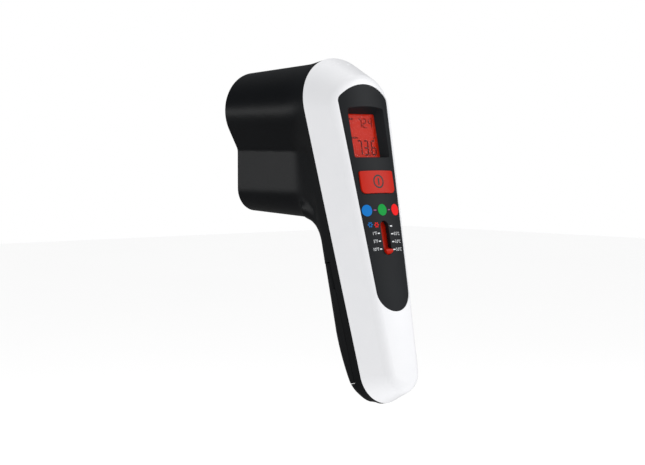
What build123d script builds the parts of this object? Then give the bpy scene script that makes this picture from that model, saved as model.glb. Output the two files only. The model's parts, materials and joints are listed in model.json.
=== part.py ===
from build123d import *

import os
from math import asin, cos, radians, sin, sqrt, tan

# Pistol-shaped hand-held thermal leak detector: a spot thermometer that lights the wall in colour.
#
# Millimetres, +Z up. The origin is on the flat front face, half way up the nose; +Y points out of
# the nose at the wall, and the user looks at the display from -Y. The cover, the panel and all that
# hangs on them are drawn on `face`, the tilted plane where the white cover meets the black housing.
# On it a place is (x, s, n): s runs down from the top of the parting line, n towards the user.

os.makedirs("parts", exist_ok=True)

# ---- driving dimensions ------------------------------------------------------------------------

handle_tilt = 13.0  # degrees from upright, with the foot of the grip towards the user
nose_reach = 71.3  # from the front face back to the top of the parting line
parting_top_z = 46.0  # height of that point above the middle of the front face

# The parting line is the outline round two circles, a large one at the head, a small one below.
outline_length = 193.0
outline_head_r = 28.2
outline_end_r = 16.8

# White cover: its walls lean in from the parting line to a crowned front.
cover_wall = 2.0
crown_height = 20.3  # from the parting plane to the crown, at the top of the head
crown_r = 52.0
crown_fall = 0.7  # degrees, the crown comes down towards the end of the grip
front_head_inset = 16.2  # how far the front outline starts below the parting outline
front_head_r = 18.5
front_end_inset = 5.3
front_end_r = 10.3
cover_edge_r = 6.0

# Black housing: a light-bulb shaped nose and the back of the grip.
housing_wall = 2.0
nose_draft = 2.74  # degrees, the nose widens towards the user
lamp_lobe_r = 22.8  # upper lobe of the nose at the front face
lamp_z = 18.2
nose_half_width = 13.6  # lower part of the nose at the front face
nose_bottom_z = -41.0
flank_angle = 28.5  # degrees from upright, the slope from the lobe to the waist
flare_start = 54.0  # behind the front face, where the nose begins to open out to the cover
flare_waist_s = 56.0
flare_low_s = 84.0
flare_end_s = 103.0
grip_top_s = 80.0
grip_top_depth = 15.0
grip_full_s = 150.0
grip_depth = 20.0
grip_lean_head = 7.2  # how far the grip's sides lean in at full depth, above and below
grip_lean_end = 3.2
grip_turn_s = 170.0  # where the back curves in to the foot
grip_turn_depth = 18.3
grip_edge_r = 9.0
grip_overrun = 1.0  # the rounded end of the back meets the parting plane just past the outline

# Panel set into the cover.
panel_top_s = 20.4
panel_end_s = 145.3
panel_half_top = 17.9
panel_half_end = 11.7
panel_shoulder_s = 28.0
panel_arch = 7.4
panel_shoulder_r = 4.0
panel_sink = 0.25
panel_thickness = 2.35
panel_lip = 1.4
panel_lip_thickness = 1.2
seam = 0.15  # clearance all round a piece that drops into an opening

# Display.
screen_width = 18.8
screen_top_s = 35.6
screen_end_s = 59.7
screen_level = 13.8
recess_side_lean = 6.7
recess_top_lean = 3.8
recess_end_lean = 2.0
recess_wall = 1.3
window_thickness = 1.0
glass_thickness = 2.2
guide_thickness = 3.0

# Power button.
button_width = 24.0
button_top_s = 68.5
button_end_s = 80.8
button_proud = 0.5
button_travel = 0.8
button_gap = 0.2
button_top_corner_r = 0.9
button_end_corner_r = 3.0

# Sensitivity slide.
slot_half_width = 2.9
slot_top_s = 95.9
slot_end_s = 114.8
slide_travel = 12.7
knob_half_width = 2.55
knob_end_gap = 0.35
knob_neck_gap = 0.25  # between the panel and the thin end of the knob that slides under it
slide_plate_level = 14.4
slide_plate_thickness = 1.2
slide_plate_half = 4.4
knob_top_s = 104.6
knob_proud = 1.2
knob_ridge = 3.0  # length of the raised ridge at the lower end of the knob
lever_half = 1.0
lever_s = 112.0
lever_reach = 1.1

# Main circuit board.
board_level = 5.0
board_thickness = 1.6
board_width = 34.0
board_top_s = 18.0
board_step_s = 85.0
board_low_width = 28.0
board_end_s = 116.4
board_corner_r = 1.5
screw_clearance = 0.15  # radial, of a screw in the hole that it passes through
boss_r = 2.4
board_screw_r = 0.95
board_screw_head_r = 1.9
board_screw_head = 1.3
board_screw_length = 6.0

# Front face, lamp and sensor.
bezel_thickness = 2.0
bezel_rim = 1.0
bezel_gap = 0.15
lens_hole_r = 15.5
lens_lip = 1.2
lens_edge = 1.6
lens_dome = 1.7
reflector_depth = 18.7
reflector_wall = 1.2
reflector_throat_r = 5.0
barrel_wall = 1.4
barrel_floor = 1.6
lamp_board_thickness = 1.6
spreader_thickness = 3.0
spreader_hole_r = 2.5
slip = 0.1  # clearance of a piece that slides into another
sensor_z = -25.4
sensor_hole_r = 5.6
sensor_tube_r = 8.2
sensor_tube_length = 24.0
sensor_bore_r = 4.9
sensor_lens_r = 6.4
sensor_lens_thickness = 1.0
sensor_board_width = 17.0
sensor_board_height = 20.0
sensor_can_r = 4.15
sensor_can_height = 4.2
carrier_depth = 31.0
carrier_thickness = 2.0
carrier_hole_r = 3.2

# Battery, its bay and the door over it: a 9 V block, 48.5 x 26.5 x 17.5.
battery_body = 46.4
battery_width = 26.5
battery_thickness = 17.5
battery_top_s = 118.7
battery_back = -11.5
battery_post_height = 2.1
snap_cap_length = 5.4
snap_cap_width = 25.0
snap_cap_thickness = 12.0
cradle_wall = 1.1
cradle_gap = 0.15
cradle_width = 22.0
door_top_s = 113.0
door_end_s = 180.0
door_side = -7.0  # the seam along the sides of the grip
door_gap = 0.3
scoop_length = 15.0
scoop_r = 4.0
scoop_depth = 1.2
lead_r = 0.8

tilt = radians(handle_tilt)
draft = tan(radians(nose_draft))
face = Plane(
    origin=(0, -nose_reach, parting_top_z),
    x_dir=(1, 0, 0),
    z_dir=(0, -cos(tilt), sin(tilt)),
)


# ---- outlines ----------------------------------------------------------------------------------


def pill(top, r_top, end, r_end):
    """The outline round two circles, from s = top to s = end."""
    upper, lower = top + r_top, end - r_end
    lean = asin((r_top - r_end) / (lower - upper))
    right_upper = (r_top * cos(lean), -upper - r_top * sin(lean))
    right_lower = (r_end * cos(lean), -lower - r_end * sin(lean))
    left_upper = (-right_upper[0], right_upper[1])
    left_lower = (-right_lower[0], right_lower[1])
    with BuildSketch() as made:
        with BuildLine():
            ThreePointArc(left_upper, (0, -top), right_upper)
            Line(right_upper, right_lower)
            ThreePointArc(right_lower, (0, -end), left_lower)
            Line(left_lower, left_upper)
        make_face()
    return made.sketch


def parting_outline(inset, lean_head=0.0, lean_end=0.0):
    """The parting outline made smaller by a wall, and by a lean of its own at each end."""
    return pill(
        inset + lean_head,
        outline_head_r - inset - lean_head,
        outline_length - inset - lean_end,
        outline_end_r - inset - lean_end,
    )


def front_outline(inset):
    """The outline that the cover's walls reach at the height of the crown."""
    return pill(
        front_head_inset + inset,
        front_head_r - inset,
        outline_length - front_end_inset - inset,
        front_end_r - inset,
    )


outline_upper_s = outline_head_r
outline_lower_s = outline_length - outline_end_r
outline_lean = asin((outline_head_r - outline_end_r) / (outline_lower_s - outline_upper_s))


def outline_half_width(s, inset=0.0):
    """Half the width of the parting outline where its sides are straight."""
    tangent_s = outline_upper_s + outline_head_r * sin(outline_lean)
    tangent_x = outline_head_r * cos(outline_lean)
    return tangent_x - (s - tangent_s) * tan(outline_lean) - inset / cos(outline_lean)


def span(width, top, end, corner=0.0, x=0.0):
    """A rectangle on the face plane from s = top to s = end, with rounded corners if asked."""
    with BuildSketch() as made:
        with Locations((x, -(top + end) / 2)):
            Rectangle(width, end - top)
        if corner:
            fillet(made.vertices(), radius=corner)
    return made.sketch


def panel_outline(grow=0.0):
    """Arched top with small shoulders, straight tapering sides and a round end."""
    top = panel_top_s - grow
    end_r = panel_half_end + grow
    end_centre = panel_end_s - panel_half_end
    lean = asin((panel_half_top - panel_half_end) / (end_centre - panel_shoulder_s))
    low = (end_r * cos(lean), -end_centre - end_r * sin(lean))
    shoulder_x = low[0] + (end_centre + end_r * sin(lean) - panel_shoulder_s) * tan(lean)
    corner = (shoulder_x + (panel_shoulder_s - top - panel_arch) * tan(lean), -top - panel_arch)
    with BuildSketch() as made:
        with BuildLine():
            ThreePointArc((-corner[0], corner[1]), (0, -top), corner)
            Line(corner, low)
            ThreePointArc(low, (0, -end_centre - end_r), (-low[0], low[1]))
            Line((-low[0], low[1]), (-corner[0], corner[1]))
        make_face()
        fillet(made.vertices().group_by(Axis.Y)[-1], radius=panel_shoulder_r)
    return made.sketch


def nose_outline(grow):
    """Light-bulb outline: a round lobe for the lamp, a waist, and a narrower rounded foot."""
    lobe = lamp_lobe_r + grow
    half = nose_half_width + grow
    bottom = nose_bottom_z - grow
    flank = radians(flank_angle)
    lobe_end = (lobe * cos(flank), lamp_z - lobe * sin(flank))
    waist = (half, lobe_end[1] - (lobe_end[0] - half) / tan(flank))
    foot = (half, bottom + half)
    with BuildSketch() as made:
        with BuildLine():
            ThreePointArc((-lobe_end[0], lobe_end[1]), (0, lamp_z + lobe), lobe_end)
            Line(lobe_end, waist)
            Line(waist, foot)
            ThreePointArc(foot, (0, bottom), (-foot[0], foot[1]))
            Line((-foot[0], foot[1]), (-waist[0], waist[1]))
            Line((-waist[0], waist[1]), (-lobe_end[0], lobe_end[1]))
        make_face()
    return made.sketch


def nose_base_outline(inset):
    """The part of the parting outline that the nose opens out to, closed across the grip."""
    head_r = outline_head_r - inset
    head = (head_r * cos(outline_lean), -outline_upper_s - head_r * sin(outline_lean))
    waist = (outline_half_width(flare_waist_s, inset), -flare_waist_s)
    low = (outline_half_width(flare_low_s, inset), -flare_low_s)
    with BuildSketch() as made:
        with BuildLine():
            ThreePointArc((-head[0], head[1]), (0, -inset), head)
            Line(head, waist)
            Line(waist, low)
            ThreePointArc(low, (0, inset - flare_end_s), (-low[0], low[1]))
            Line((-low[0], low[1]), (-waist[0], waist[1]))
            Line((-waist[0], waist[1]), (-head[0], head[1]))
        make_face()
    return made.sketch


# ---- shells ------------------------------------------------------------------------------------


def under_crown(depth):
    """Everything below a surface that lies a given depth under the crown."""
    fall = radians(crown_fall)
    down = -(face.y_dir * cos(fall) + face.z_dir * sin(fall))
    margin = 20.0
    start = face.from_local_coords(Vector(0, 0, crown_height - crown_r)) - down * margin
    with BuildPart(mode=Mode.PRIVATE) as made:
        with BuildSketch(Plane(origin=start, z_dir=down)):
            Circle(crown_r - depth)
        extrude(amount=outline_length + 2 * margin)
    return made.part


def cover_form(inset, edge_r=0.0):
    """The solid form of the cover, made smaller all round by a wall."""
    with BuildPart(mode=Mode.PRIVATE) as made:
        with BuildSketch(face):
            add(parting_outline(inset))
        with BuildSketch(face.offset(crown_height)):
            add(front_outline(inset))
        loft(ruled=True)
        add(under_crown(inset), mode=Mode.INTERSECT)
        if edge_r:
            crown = made.faces().filter_by(GeomType.CYLINDER).sort_by(SortBy.AREA)[-1]
            fillet(crown.outer_wire().edges(), radius=edge_r)
    return made.part


def nose_form(inset, front=0.0):
    """The solid form of the nose from `front` behind the front face to the parting plane."""
    with BuildPart(mode=Mode.PRIVATE) as made:
        with BuildSketch(Plane.XZ.offset(front)):
            add(nose_outline(front * draft - inset))
        with BuildSketch(Plane.XZ.offset(flare_start)):
            add(nose_outline(flare_start * draft - inset))
        with BuildSketch(face):
            add(nose_base_outline(inset))
        loft(ruled=True)
    return made.part


def grip_form(inset, edge_r=0.0):
    """The solid form of the back of the grip, from the parting plane to its rounded back."""
    side = Plane(origin=face.origin, x_dir=-face.y_dir, z_dir=(-1, 0, 0))
    reach = grip_depth + grip_edge_r
    head_lean = grip_lean_head * reach / grip_depth
    end_lean = grip_lean_end * reach / grip_depth
    with BuildPart(mode=Mode.PRIVATE) as made:
        with BuildSketch(face):
            add(parting_outline(inset))
        with BuildSketch(face.offset(-reach)):
            add(parting_outline(inset, head_lean, end_lean))
        loft(ruled=True)
        with BuildSketch(side):
            with BuildLine():
                back_top = (grip_top_s, inset - grip_top_depth)
                back_full = (grip_full_s, inset - grip_depth)
                turn = (grip_turn_s, inset - grip_turn_depth)
                foot = (outline_length + grip_overrun - inset, 0)
                Line((grip_top_s, 0), back_top)
                Line(back_top, back_full)
                Spline(back_full, turn, foot, tangents=[(1, -0.02), (0.15, 1)])
                Line(foot, (grip_top_s, 0))
            make_face()
        extrude(amount=outline_head_r * 2, both=True, mode=Mode.INTERSECT)
        if edge_r:
            on_face = face.to_local_coords
            back_edges = [
                edge
                for edge in made.edges()
                if on_face(edge.center()).Z < -grip_top_depth / 3
                and on_face(edge.center()).Y < -grip_top_s - housing_wall
            ]
            fillet(back_edges, radius=edge_r)
    return made.part


def face_slab(outline, level, thickness):
    """A flat plate on the face plane."""
    with BuildPart(mode=Mode.PRIVATE) as made:
        with BuildSketch(face.offset(level)):
            add(outline)
        extrude(amount=thickness)
    return made.part


def common(first, second):
    """What two solids share."""
    with BuildPart(mode=Mode.PRIVATE) as made:
        add(first)
        add(second, mode=Mode.INTERSECT)
    return made.part


def grip_band(top, end, deep, shallow):
    """A block across the grip from s = top to s = end and n = deep to n = shallow."""
    return face_slab(span(4 * outline_head_r, top, end), deep, shallow - deep)


cover_outer = cover_form(0.0, cover_edge_r)
cover_inner = cover_form(cover_wall)
grip_outer = grip_form(0.0, grip_edge_r)
grip_inner = grip_form(housing_wall, grip_edge_r - housing_wall)


def crown_level(s, x=0.0, depth=0.0):
    """Height above the parting plane of the surface a given depth under the crown."""
    return crown_height - crown_r - s * tan(radians(crown_fall)) + sqrt((crown_r - depth) ** 2 - x**2)


def save(made, name):
    """Labels a finished sub-part and writes it under the same name."""
    made.part.label = name
    export_step(made.part, f"parts/{name}.step")


# ---- cover -------------------------------------------------------------------------------------

hook_length = 9.0
hook_thickness = 1.5
hook_drop = 3.0
hook_root = 6.0
hook_gap = 0.8
side_hook_s = 58.0
top_hook_s = 5.6
screw_post_r = 3.0
screw_s = 176.0
screw_x = 7.0
screw_r = 1.15
screw_pilot_r = 1.2
screw_hole_r = 1.4
screw_length = 12.0
screw_head_r = 2.2
screw_head_height = 1.6
shelf_back = -6.0
shelf_thickness = 1.8
shelf_top_s = 172.6
shelf_end_s = 181.5
shelf_front = shelf_back + shelf_thickness
screw_spots = [(screw_x, -screw_s), (-screw_x, -screw_s)]

with BuildPart() as face_cover:
    add(cover_outer)
    add(cover_inner, mode=Mode.SUBTRACT)
    with BuildSketch(face):
        add(panel_outline(seam))
    extrude(amount=2 * crown_height, mode=Mode.SUBTRACT)
    # Side hooks and a top hook that reach behind the edge of the housing.
    hook_x = outline_half_width(side_hook_s, cover_wall) - hook_thickness / 2 - hook_gap
    with BuildSketch(face.offset(-hook_drop)):
        with Locations((hook_x - hook_gap, -side_hook_s), (hook_gap - hook_x, -side_hook_s)):
            Rectangle(hook_thickness, hook_length)
        with Locations((0, -top_hook_s)):
            Rectangle(hook_length, hook_thickness)
    extrude(amount=hook_drop + hook_root)
    # Posts for the two housing screws, from the crown down to the housing's shelf.
    post_top = crown_level(screw_s, screw_x, cover_wall / 2)
    with BuildSketch(face.offset(shelf_front)):
        with Locations(*screw_spots):
            Circle(screw_post_r)
    extrude(amount=post_top - shelf_front)
    with BuildSketch(face.offset(shelf_front)):
        with Locations(*screw_spots):
            Circle(screw_pilot_r)
    extrude(amount=screw_length, mode=Mode.SUBTRACT)
save(face_cover, "face_cover")


# ---- housing -----------------------------------------------------------------------------------

carrier_gap = 0.5
carrier_boss_r = 2.3
carrier_boss_length = 12.0
carrier_screw_r = 1.0
carrier_pilot_r = 1.05
carrier_screw_length = 10.5
carrier_pilot_length = 9.0
carrier_head_r = 1.7
carrier_head_height = 1.4
carrier_lobe_reach = 20.2  # from the lamp's axis to the upper carrier screws
carrier_lobe_angle = 36.0
carrier_foot_x = 11.2
carrier_foot_z = -27.0
lobe_screw_x = carrier_lobe_reach * cos(radians(carrier_lobe_angle))
lobe_screw_z = lamp_z + carrier_lobe_reach * sin(radians(carrier_lobe_angle))
carrier_spots = [
    (lobe_screw_x, lobe_screw_z),
    (-lobe_screw_x, lobe_screw_z),
    (carrier_foot_x, carrier_foot_z),
    (-carrier_foot_x, carrier_foot_z),
]
carrier_back = carrier_depth + carrier_thickness
deepest = grip_depth + grip_edge_r
scoop_s = door_top_s + scoop_length / 2
scoop_x = outline_half_width(scoop_s) + door_side * grip_lean_head / grip_depth
scoop_centre_x = scoop_x + scoop_r - scoop_depth


def finger_scoops():
    """The rods that cut a finger scoop along each side seam, at the top of the battery door."""
    top = Plane(
        origin=face.from_local_coords(Vector(0, -door_top_s, door_side)),
        x_dir=(1, 0, 0),
        z_dir=-face.y_dir,
    )
    with BuildPart(mode=Mode.PRIVATE) as made:
        with BuildSketch(top.offset(-scoop_r)):
            with Locations((scoop_centre_x, 0), (-scoop_centre_x, 0)):
                Circle(scoop_r)
        extrude(amount=scoop_length + scoop_r)
    return made.part


with BuildPart() as nose_housing:
    add(nose_form(0.0))
    add(grip_outer)
    add(nose_form(housing_wall, bezel_thickness), mode=Mode.SUBTRACT)
    add(grip_inner, mode=Mode.SUBTRACT)
    with BuildSketch(Plane.XZ):
        add(nose_outline(-bezel_rim))
    extrude(amount=bezel_thickness, mode=Mode.SUBTRACT)
    # Bosses for the optics carrier, joined to the walls of the nose.
    with BuildSketch(Plane.XZ.offset(carrier_back)):
        with Locations(*carrier_spots):
            Circle(carrier_boss_r)
    extrude(amount=carrier_boss_length)
    with BuildSketch(Plane.XZ.offset(carrier_back)):
        with Locations(*carrier_spots):
            Circle(carrier_pilot_r)
    extrude(amount=carrier_pilot_length, mode=Mode.SUBTRACT)
    # Opening that the battery door closes, and the shelf that holds the housing screws.
    add(grip_band(door_top_s, door_end_s, -deepest, door_side), mode=Mode.SUBTRACT)
    add(common(grip_band(shelf_top_s, shelf_end_s, shelf_back, shelf_front), grip_inner))
    with BuildSketch(face.offset(shelf_back)):
        with Locations(*screw_spots):
            Circle(screw_hole_r)
    extrude(amount=shelf_thickness, mode=Mode.SUBTRACT)
save(nose_housing, "nose_housing")


# ---- battery door ------------------------------------------------------------------------------

tab_x = 5.0
tab_width = 4.0
tab_front = -8.4
tab_thickness = 1.3
tab_root_s = 176.8
tab_reach = 2.8
foam_top_s = 134.0
foam_end_s = 158.0
foam_width = 12.0
foam_back = -16.5
foam_front = -11.8

with BuildPart() as battery_door:
    add(grip_outer)
    add(grip_inner, mode=Mode.SUBTRACT)
    door_band = grip_band(door_top_s + door_gap, door_end_s - door_gap, -deepest, door_side - door_gap)
    add(door_band, mode=Mode.INTERSECT)
    add(finger_scoops(), mode=Mode.SUBTRACT)
    # Two tabs at the foot hook behind the housing and carry the door as it tilts open.
    for side in (tab_x, -tab_x):
        root = face_slab(
            span(tab_width, tab_root_s, door_end_s - door_gap, x=side), -deepest, deepest + tab_front
        )
        add(common(root, grip_form(housing_wall / 2)))
        add(
            face_slab(
                span(tab_width, tab_root_s, door_end_s + tab_reach, x=side),
                tab_front - tab_thickness,
                tab_thickness,
            )
        )
save(battery_door, "battery_door")

with BuildPart() as door_foam:
    with BuildSketch(face.offset(foam_back)):
        add(span(foam_width, foam_top_s, foam_end_s))
    extrude(amount=foam_front - foam_back)
save(door_foam, "door_foam")


# ---- panel -------------------------------------------------------------------------------------

lip_ring = 1.6
recess_level = crown_height + 1.0  # just above the crown, so that every opening cuts through
screen_corner_r = 0.6
recess_corner_r = 2.0
post_pilot_r = board_screw_r + 0.05
board_front = board_level + board_thickness
board_posts = [(11.5, -27.6), (-11.5, -27.6), (11.0, -91.0), (-11.0, -91.0)]


def recess_form(grow):
    """The funnel round the display, from the screen up to just above the crown."""
    with BuildPart(mode=Mode.PRIVATE) as made:
        with BuildSketch(face.offset(screen_level)):
            add(
                span(
                    screen_width + 2 * grow, screen_top_s - grow, screen_end_s + grow, screen_corner_r
                )
            )
        with BuildSketch(face.offset(recess_level)):
            add(
                span(
                    screen_width + 2 * (recess_side_lean + grow),
                    screen_top_s - recess_top_lean - grow,
                    screen_end_s + recess_end_lean + grow,
                    recess_corner_r,
                )
            )
        loft(ruled=True)
    return made.part


def button_outline(grow=0.0):
    """The button seen from the front: tight corners above, round ones below."""
    with BuildSketch() as made:
        add(span(button_width + 2 * grow, button_top_s - grow, button_end_s + grow))
        fillet(made.vertices().group_by(Axis.Y)[-1], radius=button_top_corner_r)
        fillet(made.vertices().group_by(Axis.Y)[0], radius=button_end_corner_r + grow)
    return made.sketch


def slot_outline(half_width, top, end):
    """A round-ended slot along the panel."""
    with BuildSketch() as made:
        with Locations((0, -(top + end) / 2)):
            SlotOverall(end - top, 2 * half_width, rotation=90)
    return made.sketch


with BuildPart() as face_panel:
    with BuildSketch(face):
        add(panel_outline())
    extrude(amount=recess_level)
    add(under_crown(panel_sink), mode=Mode.INTERSECT)
    add(under_crown(panel_sink + panel_thickness), mode=Mode.SUBTRACT)
    # The lip behind the cover, cut off where the cover's walls come down.
    lip_top = cover_wall + seam
    with BuildPart(mode=Mode.PRIVATE) as lip:
        with BuildSketch(face):
            add(panel_outline(panel_lip))
            add(panel_outline(-lip_ring), mode=Mode.SUBTRACT)
        extrude(amount=recess_level)
        add(cover_form(lip_top, cover_edge_r - lip_top), mode=Mode.INTERSECT)
        add(under_crown(lip_top + panel_lip_thickness), mode=Mode.SUBTRACT)
    add(lip.part)
    # The funnel round the display.
    add(common(recess_form(recess_wall), under_crown(2 * panel_sink)))
    add(recess_form(0.0), mode=Mode.SUBTRACT)
    # Posts for the circuit board.
    for x, y in board_posts:
        with BuildSketch(face.offset(board_front)):
            with Locations((x, y)):
                Circle(boss_r)
        extrude(amount=crown_level(-y, x, panel_sink + panel_thickness / 2) - board_front)
    with BuildSketch(face.offset(board_front)):
        with Locations(*board_posts):
            Circle(post_pilot_r)
    extrude(amount=board_screw_length, mode=Mode.SUBTRACT)
    # Openings for the button and the slide.
    with BuildSketch(face.offset(board_front)):
        add(button_outline(button_gap))
        add(slot_outline(slot_half_width, slot_top_s, slot_end_s))
    extrude(amount=recess_level, mode=Mode.SUBTRACT)
save(face_panel, "face_panel")


# ---- display stack -----------------------------------------------------------------------------

stack_gap = 0.1
frame_top_s = 31.4
frame_end_s = 64.0
frame_width = 27.4
frame_side = 1.5
window_end_gap = 0.1
led_spacing = (14.0, 16.0)
led_width = 3.0
led_height = 1.4
connector_length = 1.6
frame_hole_top_s = frame_top_s + frame_side + window_end_gap
frame_hole_end_s = frame_end_s - frame_side - window_end_gap
frame_hole_width = frame_width - 2 * frame_side
glass_width = frame_hole_width - 4 * window_end_gap
guide_end_s = frame_hole_end_s - 2 * connector_length
window_level = screen_level - stack_gap - window_thickness
glass_level = window_level - stack_gap - glass_thickness
guide_level = glass_level - stack_gap - guide_thickness


with BuildPart() as display_window:
    window = span(frame_width - frame_side, frame_hole_top_s, frame_hole_end_s, 1.0)
    add(face_slab(window, window_level, window_thickness))
save(display_window, "display_window")

with BuildPart() as lcd_glass:
    glass = span(glass_width, frame_hole_top_s + 0.2, frame_hole_end_s - 0.2)
    add(face_slab(glass, glass_level, glass_thickness))
save(lcd_glass, "lcd_glass")

with BuildPart() as lcd_frame:
    with BuildSketch(face.offset(board_front)):
        add(span(frame_width, frame_top_s, frame_end_s, frame_side))
        add(span(frame_hole_width, frame_hole_top_s, frame_hole_end_s), mode=Mode.SUBTRACT)
    extrude(amount=window_level - stack_gap - board_front)
save(lcd_frame, "lcd_frame")

with BuildPart() as backlight_guide:
    guide = span(glass_width - 0.4, frame_hole_top_s + 0.4, guide_end_s, 0.5)
    add(face_slab(guide, guide_level, guide_thickness))
save(backlight_guide, "backlight_guide")

with BuildPart() as backlight_leds:
    with BuildSketch(face.offset(board_front)):
        with Locations((0, -(frame_hole_top_s + guide_end_s) / 2)):
            with GridLocations(*led_spacing, 2, 2):
                Rectangle(led_width, led_height)
    extrude(amount=guide_level - stack_gap - board_front)
save(backlight_leds, "backlight_leds")

with BuildPart() as lcd_connector:
    connector_top_s = guide_end_s + connector_length / 2
    connector = span(glass_width - 2.0, connector_top_s, connector_top_s + connector_length)
    add(face_slab(connector, board_front, glass_level - board_front))
save(lcd_connector, "lcd_connector")


# ---- button and slide --------------------------------------------------------------------------

switch_half = 3.1
switch_height = 3.5
plunger_r = 1.7
plunger_gap = 0.1
plunger_top = board_front + 4.5
plunger_length = 2.5
plunger_base = plunger_top - plunger_length
stem_r = plunger_r + 0.5
button_centre_s = (button_top_s + button_end_s) / 2
button_edge_r = 0.5
button_flange = 1.0
button_flange_thickness = 1.2
button_flange_gap = 0.15
button_flange_depth = panel_sink + panel_thickness + button_flange_gap
button_body_depth = button_flange_depth + button_flange_thickness

with BuildPart() as power_button:
    with BuildSketch(face.offset(board_front)):
        add(button_outline())
    extrude(amount=recess_level)
    add(under_crown(-button_proud), mode=Mode.INTERSECT)
    add(under_crown(button_body_depth), mode=Mode.SUBTRACT)
    crown_edges = power_button.faces().filter_by(GeomType.CYLINDER).sort_by(SortBy.AREA)[-1].edges()
    fillet(crown_edges, radius=button_edge_r)
    with BuildPart(mode=Mode.PRIVATE) as flange:
        with BuildSketch(face.offset(board_front)):
            add(
                span(
                    button_width + 2 * button_flange,
                    button_top_s - button_flange,
                    button_end_s + button_flange,
                    button_flange,
                )
            )
        extrude(amount=recess_level)
        add(under_crown(button_flange_depth), mode=Mode.INTERSECT)
        add(under_crown(button_body_depth), mode=Mode.SUBTRACT)
    add(flange.part)
    with BuildSketch(face.offset(plunger_top)):
        with Locations((0, -button_centre_s)):
            Circle(stem_r)
    stem_top = crown_level(button_centre_s, 0, button_body_depth - button_flange_thickness / 3)
    extrude(amount=stem_top - plunger_top)
save(power_button, "power_button")

with BuildPart() as button_plunger:
    with BuildSketch(face.offset(plunger_base)):
        with Locations((0, -button_centre_s)):
            Circle(plunger_r)
    extrude(amount=plunger_length)
save(button_plunger, "button_plunger")

with BuildPart() as tact_switch:
    switch = span(2 * switch_half, button_centre_s - switch_half, button_centre_s + switch_half)
    add(face_slab(switch, board_front, switch_height))
    with BuildSketch(face.offset(plunger_base - button_travel - button_gap)):
        with Locations((0, -button_centre_s)):
            Circle(plunger_r + plunger_gap)
    extrude(amount=switch_height, mode=Mode.SUBTRACT)
save(tact_switch, "tact_switch")

knob_end_s = slot_end_s - knob_end_gap
under_panel = crown_level(slot_end_s, slot_half_width, panel_sink + panel_thickness)
plate_top = slide_plate_level + slide_plate_thickness
plate_top_s = slot_top_s - 0.7
plate_end_s = slot_end_s + slide_travel - 0.3
knob_neck_s = slot_top_s + slot_half_width / 2 + slide_travel + knob_end_gap
knob_height = crown_level(knob_end_s) + knob_proud
ridge_s = knob_end_s - knob_ridge
plate_root = plate_top - 0.2

with BuildPart() as slide_knob:
    slide_plate = span(2 * slide_plate_half, plate_top_s, plate_end_s, 1.0)
    add(face_slab(slide_plate, slide_plate_level, slide_plate_thickness))
    # A ramp that climbs to a ridge at the lower end, round-ended like its slot.
    rail = Plane(origin=face.origin, x_dir=-face.y_dir, z_dir=(-1, 0, 0))
    with BuildPart(mode=Mode.PRIVATE) as ramp:
        with BuildSketch(rail):
            with BuildLine():
                ridge_back = (ridge_s + 0.4, knob_height - 0.1)
                ridge_foot = (knob_end_s, knob_height - 2.0)
                Polyline(
                    (knob_top_s, plate_root),
                    (knob_neck_s, under_panel - knob_neck_gap),
                    (ridge_s, knob_height - 1.3),
                    ridge_back,
                )
                Spline(ridge_back, (ridge_s + knob_ridge / 2, knob_height), ridge_foot)
                Line(ridge_foot, (knob_end_s, plate_root))
                Line((knob_end_s, plate_root), (knob_top_s, plate_root))
            make_face()
        extrude(amount=knob_half_width, both=True)
        knob_outline = slot_outline(knob_half_width, knob_top_s - knob_half_width, knob_end_s)
        add(face_slab(knob_outline, board_front, recess_level), mode=Mode.INTERSECT)
    add(ramp.part)
save(slide_knob, "slide_knob")

slide_body_width = 6.8
slide_body_top_s = 96.2
slide_body_end_s = 115.6
slide_body_height = 4.6
lever_base = board_front + 2.2
lever_gap = 0.25  # beside the lever, and over the bottom of its slot
lever_end_gap = 0.4

with BuildPart() as slide_switch:
    slide_body = span(slide_body_width, slide_body_top_s, slide_body_end_s, 0.4)
    add(face_slab(slide_body, board_front, slide_body_height))
    lever_slot = span(
        2 * (lever_half + lever_gap),
        lever_s - lever_reach - slide_travel - lever_end_gap,
        lever_s + lever_reach + lever_end_gap,
    )
    add(face_slab(lever_slot, lever_base - lever_gap, slide_body_height), mode=Mode.SUBTRACT)
save(slide_switch, "slide_switch")

with BuildPart() as switch_lever:
    add(
        face_slab(
            span(2 * lever_half, lever_s - lever_reach, lever_s + lever_reach),
            lever_base,
            slide_plate_level - lever_base,
        )
    )
save(switch_lever, "switch_lever")


# ---- circuit board -----------------------------------------------------------------------------

with BuildPart() as main_board:
    with BuildSketch(face.offset(board_level)):
        add(span(board_width, board_top_s, board_step_s, board_corner_r))
        add(span(board_low_width, board_step_s - 2 * board_corner_r, board_end_s, board_corner_r))
        with Locations(*board_posts):
            Circle(board_screw_r + screw_clearance, mode=Mode.SUBTRACT)
    extrude(amount=board_thickness)
save(main_board, "main_board")

with BuildPart() as board_screws:
    with BuildSketch(face.offset(board_level)):
        with Locations(*board_posts):
            Circle(board_screw_r)
    extrude(amount=board_screw_length)
    with BuildSketch(face.offset(board_level)):
        with Locations(*board_posts):
            Circle(board_screw_head_r)
    extrude(amount=-board_screw_head)
save(board_screws, "board_screws")


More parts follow.
